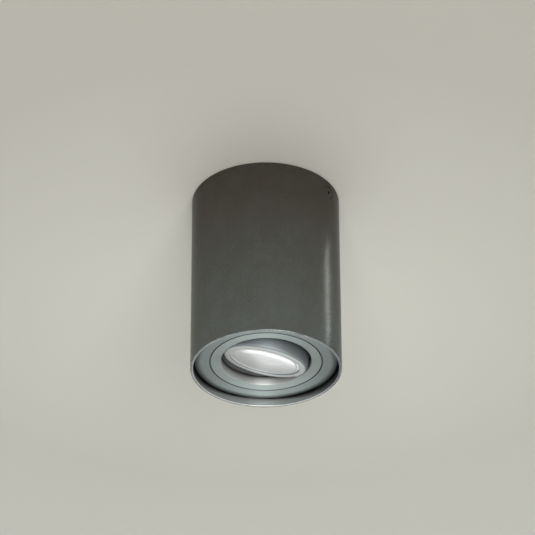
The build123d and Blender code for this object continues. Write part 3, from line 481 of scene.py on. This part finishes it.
def lacquer(
    name,
    base,
    matrix=None,
    lines="Drawn lines",
    scale=30.0,
    edge=None,
    bore=None,
    corners=(),
    shift=0.0,
    painted_shading=None,
    hole=None,
):
    """Satin metallic lacquer with grain, mottling and fine lines. Where they are given, it has

    - a worn edge, which also paints a highlight: its height, width and amount
    - a bare turned bore: within a radius and below a height
    - an unlit hole: within a radius and above a height
    - painted shade in corners
    - painted light and shade between two heights, as two colours that multiply the base
    """
    finish = bpy.context.scene.spot_lacquer
    made, tree, bsdf = surface(name)
    at = place(tree, matrix)
    height = split(tree, at)[2]
    grain = use(tree, "Lacquer grain", {"Vector": at, "Scale": 1.0 / finish.grain, "Amount": 1.0})
    marks = use(tree, lines, {"Vector": at, "Scale": scale})["Height"]
    tone = vary(tree, grain["Mottle"], 0.34, 0.83)
    streak = vary(tree, marks, 0.16, 0.92)
    warm = [c * k for c, k in zip(base, (1.05, 1.0, 0.93))]
    cool = [c * k for c, k in zip(base, (0.95, 1.0, 1.05))]
    tinted = blend_colour(tree, grain["Mottle"], warm, cool)
    painted = scaled(tree, tinted, calc(tree, "MULTIPLY", tone, streak))
    # painted light and shade: the colour runs from one multiplier to the other between two heights
    if painted_shading is not None:
        start, end, first, last = painted_shading
        painted_light_wash = blend_colour(tree, ramp(tree, height, start, end), first, last)
        painted = node(
            tree, "ShaderNodeVectorMath", {0: painted, 1: painted_light_wash}, operation="MULTIPLY"
        ).outputs[0]
    rough = vary(tree, grain["Height"], 0.1, finish.roughness + shift - 0.05)
    # worn bare metal along an edge, also standing in for a highlight
    if edge is not None:
        mask = use(
            tree, "Worn edge and painted highlight", {"Vector": at, **dict(zip(("Height", "Width", "Amount"), edge))}
        )["Mask"]
        painted = blend_colour(tree, mask, painted, finish.worn)
        rough = vary(tree, mask, -0.12, rough)

    def within(radius, side, limit):
        """1 nearer the axis than a radius and on one side of a height."""
        away = use(tree, "Turned rings", {"Vector": at})["Radius"]
        inside = calc(tree, "LESS_THAN", away, radius)
        return calc(tree, "MULTIPLY", inside, calc(tree, side, height, limit))

    if bore is not None:
        radius, below = bore
        bare = within(radius, "LESS_THAN", below)
        painted = blend_colour(tree, bare, painted, finish.turned)
        rough = vary(tree, bare, 0.06, rough)
    if hole is not None:
        radius, above = hole
        painted = blend_colour(tree, within(radius, "GREATER_THAN", above), painted, UNLIT)
    # painted shade in corners, grooves and gaps
    for corner in corners:
        mask = use(tree, "Painted crevice shade", {"Vector": at, **corner})["Mask"]
        painted = blend_colour(tree, mask, painted, PAINTED_SHADE)
    tree.links.new(painted, bsdf.inputs["Base Color"])
    tree.links.new(rough, bsdf.inputs["Roughness"])
    bsdf.inputs["Metallic"].default_value = finish.metallic
    bsdf.inputs["Specular Tint"].default_value = (0.55, 0.55, 0.55, 1.0)
    heights = vary(tree, marks, 0.5, grain["Height"])
    bumped(tree, bsdf, heights, 0.12, 0.00006)
    return made


def brushed(material, amount):
    """Marks that run round the axis stretch a highlight across themselves."""
    tree = material.node_tree
    bsdf = tree.nodes["Principled BSDF"]
    bsdf.inputs["Anisotropic"].default_value = amount
    bsdf.inputs["Anisotropic Rotation"].default_value = 0.25
    around = node(tree, "ShaderNodeTangent", direction_type="RADIAL", axis="Z")
    tree.links.new(around.outputs[0], bsdf.inputs["Tangent"])
    return material


def plain_metal(name, base, roughness, scale=1400.0, dusty=0.25):
    """Plated or bare metal with fine marks, a cloudy tone and a little dust on top."""
    made, tree, bsdf = surface(name, Metallic=1.0)
    at = place(tree)
    grain = use(tree, "Lacquer grain", {"Vector": at, "Scale": scale, "Amount": 1.2})
    dust = use(tree, "Dust", {"Vector": at, "Amount": dusty})["Mask"]
    shaded = scaled(tree, base, vary(tree, grain["Mottle"], 0.5, 0.75))
    tree.links.new(blend_colour(tree, dust, shaded, DUST), bsdf.inputs["Base Color"])
    rough = vary(tree, grain["Height"], 0.16, roughness - 0.08)
    rough = calc(tree, "ADD", rough, calc(tree, "MULTIPLY", dust, 0.3))
    tree.links.new(rough, bsdf.inputs["Roughness"])
    bumped(tree, bsdf, grain["Height"], 0.2, 0.00004)
    return made


def moulded(name, base, roughness, scale=1800.0, spread=0.12, **numbers):
    """Moulded plastic, rubber or ceramic: fine texture and a faint mottle."""
    made, tree, bsdf = surface(name, **numbers)
    grain = use(tree, "Lacquer grain", {"Vector": place(tree), "Scale": scale, "Amount": 1.0})
    tone = vary(tree, grain["Mottle"], spread, 1.0 - spread / 2)
    tree.links.new(scaled(tree, base, tone), bsdf.inputs["Base Color"])
    rough = vary(tree, grain["Height"], 0.14, roughness - 0.07)
    tree.links.new(rough, bsdf.inputs["Roughness"])
    bumped(tree, bsdf, grain["Height"], 0.25, 0.00005)
    return made


def dress(material, *names):
    """Gives CAD nodes their finish."""
    for name in names:
        coat(NODES[name].data, material)


# ---- Operators --------------------------------------------------------------------------------


class SPOT_OT_effects(bpy.types.Operator):
    """Build the shared material effects"""

    bl_idname = "spot.effects"
    bl_label = "Material effects"

    def execute(self, context):
        build_effects()
        return {"FINISHED"}


class SPOT_OT_shell(bpy.types.Operator):
    """Finish the tube, the face plate, the turning ring and the head"""

    bl_idname = "spot.shell"
    bl_label = "Lacquered shell"

    def execute(self, context):
        finish = context.scene.spot_lacquer
        # painted shade in the groove between the ring and the face plate
        groove = painted_shade_at(RING_GROOVE, 0.0006, 0.5, sides=0.1)
        tube = lacquer(
            "Tube lacquer",
            finish.tube,
            # worn bare metal, also a painted highlight, along the rim's lower edge
            edge=(RIM_Z, 0.0005, 1.5),
            bore=(0.0467, -0.1175),
            # painted shade and a painted dark reflection where the face plate meets the wall, wider
            # towards the sides
            corners=(painted_shade_at(PLATE_CORNER, 0.0072, 0.7, sides=0.95),),
            shift=-0.15,
            # painted light and shade: darker and warmer at the top, lighter and cooler at the bottom
            painted_shading=(-0.02, -0.115, (0.8, 0.75, 0.69), (1.34, 1.5, 1.6)),
            hole=(0.0478, -0.03),
        )
        plate = lacquer(
            "Face plate lacquer",
            finish.plate,
            lines="Turned rings",
            scale=2600.0,
            # painted shade where the face plate meets the tube's wall, and in the groove
            corners=(painted_shade_at(PLATE_CORNER, 0.0048, 0.8), groove),
            shift=0.06,
        )
        ring = lacquer(
            "Ring lacquer",
            finish.ring,
            lines="Turned rings",
            scale=2600.0,
            bore=(0.02895, 0.0),
            # painted shade in the groove and in the bore beside the head
            corners=(groove, painted_shade_at(HEAD_GAP, 0.0062, 2.0)),
            shift=0.06,
        )
        head = lacquer(
            "Head lacquer",
            finish.head,
            matrix=HEAD_FRAME,
            lines="Turned rings",
            scale=2200.0,
            shift=0.18,
            bore=(0.03, -0.0047),
            # painted shade: darker towards the head's back, which sits in the ring's bore
            painted_shading=(-0.0045, 0.006, (0.76, 0.78, 0.8), (0.2, 0.21, 0.22)),
        )
        dress(brushed(tube, 0.2), "housing_tube")
        dress(brushed(plate, 0.8), "face_plate")
        dress(brushed(ring, 0.8), "swivel_ring")
        dress(head, "head_cup")
        return {"FINISHED"}


class SPOT_OT_screws(bpy.types.Operator):
    """Model the countersunk socket screws in the side of the tube"""

    bl_idname = "spot.screws"
    bl_label = "Side screws"

    def execute(self, context):
        sizes = context.scene.spot_screws
        black = plain_metal("Black oxide", (0.085, 0.08, 0.072), 0.45, dusty=0.1)
        head, shank, bottom = sizes.head, sizes.shank, -sizes.reach
        # the head: a rounded edge, a short straight side and a 45 degree cone down to the shank
        edge, side = 0.00025, 0.0003
        cone = shank - head
        outline = [(0, 0), (head - edge, 0), (head, -side / 2), (head, -side), (shank, cone - side)]
        # the thread: flat crests with grooves between them, from below the head to the tip
        groove, upper, lower = (k * sizes.pitch for k in (0.61, 0.42, 0.58))
        root = shank - groove
        plain, tip = 0.0008, 1.4 * sizes.pitch
        z = cone - plain
        while z > bottom + tip:
            outline += [(shank, z), (root, z - upper), (root, z - lower)]
            z -= sizes.pitch
        outline += [(shank, z), (root, bottom), (0, bottom)]
        screw = turned("side_screw_pattern", outline, 48)
        # the hexagon socket: flat walls and a drilled bottom
        fresh()
        corners = sizes.socket / 2 / cos(pi / 6)
        bpy.ops.mesh.primitive_cylinder_add(
            vertices=6, radius=corners, depth=2 * sizes.depth, location=(0, 0, 0)
        )
        cutter = named("socket_cutter")
        pick(cutter, lambda normal: normal.z < -0.9)
        bpy.ops.mesh.inset(thickness=0.0004, depth=0.0003)
        bpy.ops.object.mode_set(mode="OBJECT")
        only(screw)
        cut = screw.modifiers.new("socket", "BOOLEAN")
        cut.object, cut.operation, cut.solver = cutter, "DIFFERENCE", "EXACT"
        bpy.ops.object.modifier_apply(modifier=cut.name)
        bpy.data.objects.remove(cutter)
        for index, turn in enumerate((0.0, pi)):
            azimuth = sizes.azimuth + turn
            piece = screw.copy()
            piece.data = screw.data.copy()
            piece.name = f"side_socket_screw_{index + 1}"
            context.scene.collection.objects.link(piece)
            outwards = Vector((cos(azimuth), sin(azimuth), 0))
            at = outwards * (TUBE_R - sizes.inset) + Vector((0, 0, sizes.height))
            facing = outwards.to_track_quat("Z", "Y").to_matrix().to_4x4()
            settle(piece, Matrix.Translation(at) @ facing)
            coat(piece.data, black)
            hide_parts("side_screws")
            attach(piece, "housing")
        bpy.data.objects.remove(screw)
        return {"FINISHED"}


class SPOT_OT_lens(bpy.types.Operator):
    """Model the lamp's front lens, with its clear rim and frosted middle"""

    bl_idname = "spot.lens"
    bl_label = "Lamp lens"

    def execute(self, context):
        sizes = context.scene.spot_lens
        edge, middle = sizes.radius - 0.00005, sizes.clear_radius
        face, back, crown = sizes.face_height, sizes.back_height, sizes.crown
        dome = [
            (middle * sin(pi / 2 * k / 10), face - crown * cos(pi / 2 * k / 10)) for k in range(11)
        ]
        # a groove round the frosted middle, then the clear rim with a bevelled edge
        groove, lip, bevel = 0.0003, 0.00005, 0.0002
        outline = dome + [
            (middle + 0.0002, face + groove),
            (middle + 0.0006, face + groove),
            (middle + 0.0008, face - lip),
            (middle + 0.0016, face),
            (edge - bevel, face),
            (edge, face + bevel),
            (edge, back),
            (0, back),
        ]
        lens = settle(turned("lamp_front_lens", outline, 160), HEAD_FRAME)
        made, tree, bsdf = surface(
            "Frosted lens", Coat_Weight=1.0, Coat_Roughness=0.12, Coat_IOR=1.5, IOR=1.49
        )
        at = place(tree, HEAD_FRAME)
        rings = use(tree, "Turned rings", {"Vector": at, "Scale": 1100.0})
        grain = use(tree, "Lacquer grain", {"Vector": at, "Scale": 1500.0, "Amount": 1.0})
        rim = calc(tree, "GREATER_THAN", rings["Radius"], middle + 0.0001)
        frosted = scaled(
            tree, sizes.frosted, vary(tree, grain["Mottle"], 0.06, 0.97)
        )
        rough = vary(tree, grain["Height"], 0.12, 0.34)
        tree.links.new(blend_colour(tree, rim, frosted, LENS_RIM), bsdf.inputs["Base Color"])
        tree.links.new(rough, bsdf.inputs["Roughness"])
        bumped(tree, bsdf, rings["Height"], 0.05, 0.00005)
        coat(lens.data, made)
        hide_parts("lamp_lens")
        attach(lens, "head")
        return {"FINISHED"}


class SPOT_OT_fittings(bpy.types.Operator):
    """Finish the fixing plate, the terminals, the springs, the lamp and its holder"""

    bl_idname = "spot.fittings"
    bl_label = "Fittings"

    def execute(self, context):
        zinc = plain_metal("Zinc plate", (0.6, 0.61, 0.6), 0.38)
        sheet = plain_metal("Zinc plated sheet", (0.56, 0.57, 0.56), 0.45, 900.0)
        spring = plain_metal("Spring steel", (0.42, 0.42, 0.43), 0.3, 1900.0)
        dress(sheet, "ceiling_plate", "rotation_stop_tab")
        dress(
            zinc,
            "clinch_nuts",
            "terminal_screws",
            "terminal_block_screws",
            "earth_tag",
            "earth_screw",
            "rotation_stop_pin",
            "pivot_pins",
            "pivot_washers",
            "spring_rivets",
            "stop_tab_screw",
        )
        dress(spring, "retention_springs", "lamp_retaining_ring")
        dress(plain_metal("Turned brass", (0.72, 0.53, 0.26), 0.32), "terminal_sleeves")
        dress(plain_metal("Nickel plate", (0.68, 0.65, 0.58), 0.25), "lamp_pins")
        dress(plain_metal("Bronze strip", (0.62, 0.4, 0.2), 0.3), "lampholder_contacts")
        dress(moulded("Grommet rubber", (0.018, 0.018, 0.018), 0.62), "cable_grommet")
        polyamide = moulded("Natural polyamide", (0.7, 0.68, 0.6), 0.48, Subsurface_Weight=0.1)
        dress(polyamide, "terminal_block")
        dress(plain_metal("Cast lamp shell", (0.7, 0.7, 0.69), 0.5, 1100.0), "lamp_body")
        dress(moulded("Lamp base plastic", (0.74, 0.74, 0.72), 0.42), "lamp_base")
        dress(moulded("White solder mask", (0.78, 0.78, 0.76), 0.35), "lamp_led_board")
        dress(moulded("Green solder mask", (0.02, 0.14, 0.05), 0.3), "lamp_driver_board")
        dress(moulded("Unglazed ceramic", (0.72, 0.7, 0.64), 0.7, 1300.0, 0.2), "lampholder")
        return {"FINISHED"}


def lead(name, points, diameter, material, cuts=()):
    """One stretch of a lead: a smooth curve along the route, made a mesh and cut at planes.

    A cut is a point, a direction, and whether the part after the plane is the one that stays.
    """
    curve = bpy.data.curves.new(name, "CURVE")
    curve.dimensions = "3D"
    curve.resolution_u = 16
    curve.bevel_depth = diameter / 2
    curve.bevel_resolution = 6
    curve.use_fill_caps = True
    spline = curve.splines.new("NURBS")
    spline.points.add(len(points) - 1)
    for knot, at in zip(spline.points, points):
        knot.co = (*at, 1.0)
    spline.order_u = 3
    spline.use_endpoint_u = True
    made = bpy.data.objects.new(name, curve)
    bpy.context.scene.collection.objects.link(made)
    only(made)
    bpy.ops.object.convert(target="MESH")
    piece = settle(named(name))
    for at, along, after in cuts:
        bpy.ops.object.mode_set(mode="EDIT")
        bpy.ops.mesh.select_all(action="SELECT")
        bpy.ops.mesh.bisect(
            plane_co=at,
            plane_no=along,
            use_fill=True,
            clear_inner=after,
            clear_outer=not after,
            threshold=MERGE,
        )
        bpy.ops.object.mode_set(mode="OBJECT")
        settle(piece)
    coat(piece.data, material)
    return piece


class SPOT_OT_leads(bpy.types.Operator):
    """Run the live, neutral and earth leads"""

    bl_idname = "spot.leads"
    bl_label = "Leads"

    def execute(self, context):
        sizes = context.scene.spot_leads
        # the way into the lampholder, in the head's frame
        roof, approach, half_gap = 0.0574, 0.07275, 0.005

        def holder(side, height):
            return HEAD_FRAME @ Vector((side * half_gap, 0, height))

        # the way from the terminal block, in millimetres
        routes = {
            "live": (
                [
                    (-9, 21, -8.5),
                    (-9, 33.6, -8.5),
                    (-9.6, 38.6, -17),
                    (-8.6, 33.4, -25.6),
                    (-3, 16, -31.5),
                    (3.5, -1, -33.5),
                ],
                -1,
                moulded("Brown silicone", sizes.live_colour, 0.5),
            ),
            "neutral": (
                [
                    (0, 21, -8.5),
                    (0, 33.6, -8.5),
                    (0.5, 38.5, -17),
                    (0.2, 33.4, -25.4),
                    (5.5, 17, -29.8),
                    (11.5, 1.5, -32),
                ],
                1,
                moulded("Blue silicone", sizes.neutral_colour, 0.5),
            ),
        }
        for name, (points, side, material) in routes.items():
            line = [Vector(p) * MM for p in points] + [holder(side, approach), holder(side, roof)]
            middle = (line[4] + line[5]) / 2
            # the first plane is at the top bend, the second near the tube's axis
            bend = (line[2], Vector((0, 0, -1)))
            axis = (middle, (line[5] - line[4]).normalized())
            stretches = {
                "root": ((*bend, False),),
                "upper": ((*bend, True), (*axis, False)),
                "lower": ((*axis, True),),
            }
            for stretch, cuts in stretches.items():
                title = f"{name}_silicone_lead_{stretch}"
                piece = lead(title, line, sizes.supply, material, cuts)
                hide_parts(f"{name}_lead")
                if stretch == "root":
                    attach(piece, "housing")
                elif stretch == "upper":
                    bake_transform(piece)
                else:
                    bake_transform(piece)
        stripes, tree, bsdf = surface("Green and yellow insulation")
        at = place(tree)
        grain = use(tree, "Lacquer grain", {"Vector": at, "Scale": 1800.0, "Amount": 1.0})
        stripe = calc(tree, "GREATER_THAN", split(tree, at)[2], -0.0062)
        striped = blend_colour(tree, stripe, sizes.earth_colour, sizes.earth_stripe)
        rough = vary(tree, grain["Height"], 0.14, 0.4)
        tree.links.new(striped, bsdf.inputs["Base Color"])
        tree.links.new(rough, bsdf.inputs["Roughness"])
        points = [
            (9, 21, -8.5),
            (9, 32.8, -8.5),
            (16.5, 37.2, -6.5),
            (24, 32.8, -3.4),
            (24, 18.3, -3.4),
        ]
        line = [Vector(p) * MM for p in points]
        piece = lead("earth_insulated_lead", line, sizes.earth, stripes)
        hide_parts("earth_lead")
        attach(piece, "housing")
        return {"FINISHED"}


def seen_directly(tree):
    """1 for rays from the camera and for those in reflections and through glass."""
    rays = tree.nodes.new("ShaderNodeLightPath").outputs
    direct = calc(tree, "MAXIMUM", rays["Is Camera Ray"], rays["Is Glossy Ray"])
    return calc(tree, "MAXIMUM", direct, rays["Is Transmission Ray"])


class SPOT_OT_studio(bpy.types.Operator):
    """Set the ceiling, the floor, the lamps and the camera"""

    bl_idname = "spot.studio"
    bl_label = "Studio"

    def execute(self, context):
        scene, sizes = context.scene, context.scene.spot_studio
        scene.view_settings.view_transform = "Standard"
        # the ceiling faces down; from above it is clear
        fresh()
        bpy.ops.mesh.primitive_plane_add(size=6, location=(0, 0, 0.0002), rotation=(pi, 0, 0))
        ceiling = named("ceiling")
        bpy.ops.object.transform_apply(location=True, rotation=True, scale=True)
        paint, tree, bsdf = surface("Ceiling paint", Roughness=0.9)
        at = place(tree)
        # painted light: the paint darker by the camera and paler behind the light, with a little noise
        behind = vary(tree, ramp(tree, split(tree, at)[1], -0.25, 0.5), 0.9, -0.05)
        painted_light_wash = vary(tree, noise(tree, at, 2.2, 3.0), 0.1, behind)
        tint = blend_colour(tree, painted_light_wash, sizes.ceiling, sizes.ceiling_far)
        # painted light: a paler pool of light painted on the ceiling behind the light
        patch = {0: at, 1: (0.0, 0.11, 0.0)}
        away = node(tree, "ShaderNodeVectorMath", patch, operation="DISTANCE").outputs["Value"]
        painted_glow = ramp(tree, away, 0.27, 0.07, 1.0, 1.22)
        tree.links.new(scaled(tree, tint, painted_glow), bsdf.inputs["Base Color"])
        bumped(tree, bsdf, noise(tree, at, 260.0, 4.0), 0.08, 0.0006)
        clear = tree.nodes.new("ShaderNodeBsdfTransparent")
        above = tree.nodes.new("ShaderNodeNewGeometry").outputs["Backfacing"]
        tree.links.new(
            mix_shaders(tree, above, bsdf, clear), tree.nodes["Material Output"].inputs[0]
        )
        coat(ceiling.data, paint)
        fresh()
        bpy.ops.mesh.primitive_plane_add(size=16, location=(0, 0, -sizes.drop))
        floor = named("floor")
        pale, tree, bsdf = surface("Pale floor", Roughness=0.8)
        soft = noise(tree, place(tree), 1.4, 4.0)
        tint = blend_colour(tree, soft, [c * 0.97 for c in sizes.floor], sizes.floor)
        tree.links.new(tint, bsdf.inputs["Base Color"])
        glow = node(tree, "ShaderNodeEmission", {"Color": sizes.floor, "Strength": 1.0})
        seen = mix_shaders(tree, seen_directly(tree), bsdf, glow)
        tree.links.new(seen, tree.nodes["Material Output"].inputs[0])
        coat(floor.data, pale)

        world = bpy.data.worlds.new("Studio")
        scene.world = world
        world.use_nodes = True
        tree = world.node_tree
        light = tree.nodes["Background"]
        light.inputs["Color"].default_value = (*sizes.world, 1.0)
        light.inputs["Strength"].default_value = sizes.world_strength
        shown = node(tree, "ShaderNodeBackground", {"Color": sizes.floor, "Strength": 1.0})
        seen = mix_shaders(tree, seen_directly(tree), light, shown)
        tree.links.new(seen, tree.nodes["World Output"].inputs[0])

        def lamp(name, power, at, size, tint=(1, 1, 1), aim=(0, 0, -0.08), spread=180):
            """A rectangular lamp that the camera doesn't see."""
            light = bpy.data.lights.new(name, "AREA")
            light.energy, light.color, light.spread = power, tint, radians(spread)
            light.shape, light.size, light.size_y = "RECTANGLE", *size
            made = bpy.data.objects.new(name, light)
            made.location = at
            made.rotation_euler = (Vector(aim) - Vector(at)).to_track_quat("-Z", "Y").to_euler()
            made.visible_camera = False
            scene.collection.objects.link(made)

        lamp("key", sizes.key, (0.2, -2.3, -1.35), (1.5, 1.1))
        lamp("fill", sizes.fill, (0, 0.9, -2.1), (1.5, 1.5), (0.95, 1.0, 1.0))
        lamp("window", sizes.window, (-0.28, 2.3, -0.48), (0.28, 0.08), (0.95, 0.98, 1.0))
        # close to the tube, tall and thin: its reflection is the strip of light on the right
        strip, strip_aim = (0.12, 0.0, -0.036), (0.04, -0.028, -0.075)
        lamp("side", sizes.side, strip, (0.007, 0.064), aim=strip_aim, spread=60)

        view = bpy.data.cameras.new("camera")
        view.sensor_width, view.lens = 36.0, 206.5
        view.clip_start, view.clip_end = 0.05, 50.0
        camera = bpy.data.objects.new("camera", view)
        camera.location = (0, -1.6681, -1.1159)
        pan, rise, roll = -0.00068, 0.5688, -0.004
        aim = Matrix.Rotation(pan, 3, "Z") @ Matrix.Rotation(pi / 2 + rise, 3, "X")
        camera.rotation_euler = (aim @ Matrix.Rotation(roll, 3, "Z")).to_euler()
        scene.collection.objects.link(camera)
        scene.camera = camera
        return {"FINISHED"}


class SPOT_PT_panel(bpy.types.Panel):
    """Spotlight settings and steps"""

    bl_idname = "SPOT_PT_panel"
    bl_label = "Ceiling spotlight"
    bl_space_type = "VIEW_3D"
    bl_region_type = "UI"
    bl_category = "Spotlight"

    def draw(self, context):
        for group in GROUPS:
            box = self.layout.box()
            box.label(text=group)
            for key in GROUPS[group].__annotations__:
                box.prop(getattr(context.scene, group), key)
        for operator in OPERATORS:
            self.layout.operator(operator.bl_idname)


GROUPS = {
    "spot_lacquer": SpotLacquer,
    "spot_lens": SpotLens,
    "spot_screws": SpotScrews,
    "spot_leads": SpotLeads,
    "spot_studio": SpotStudio,
}
OPERATORS = (
    SPOT_OT_effects,
    SPOT_OT_shell,
    SPOT_OT_screws,
    SPOT_OT_lens,
    SPOT_OT_fittings,
    SPOT_OT_leads,
    SPOT_OT_studio,
)
CLASSES = (*GROUPS.values(), *OPERATORS, SPOT_PT_panel)


def register():
    for cls in CLASSES:
        bpy.utils.register_class(cls)
    for name, group in GROUPS.items():
        setattr(bpy.types.Scene, name, bpy.props.PointerProperty(type=group))


def unregister():
    for name in GROUPS:
        delattr(bpy.types.Scene, name)
    for cls in reversed(CLASSES):
        bpy.utils.unregister_class(cls)


def main():
    register()
    for operator in OPERATORS:
        getattr(bpy.ops.spot, operator.bl_idname.split(".")[1])()


if __name__ == "__main__":
    main()
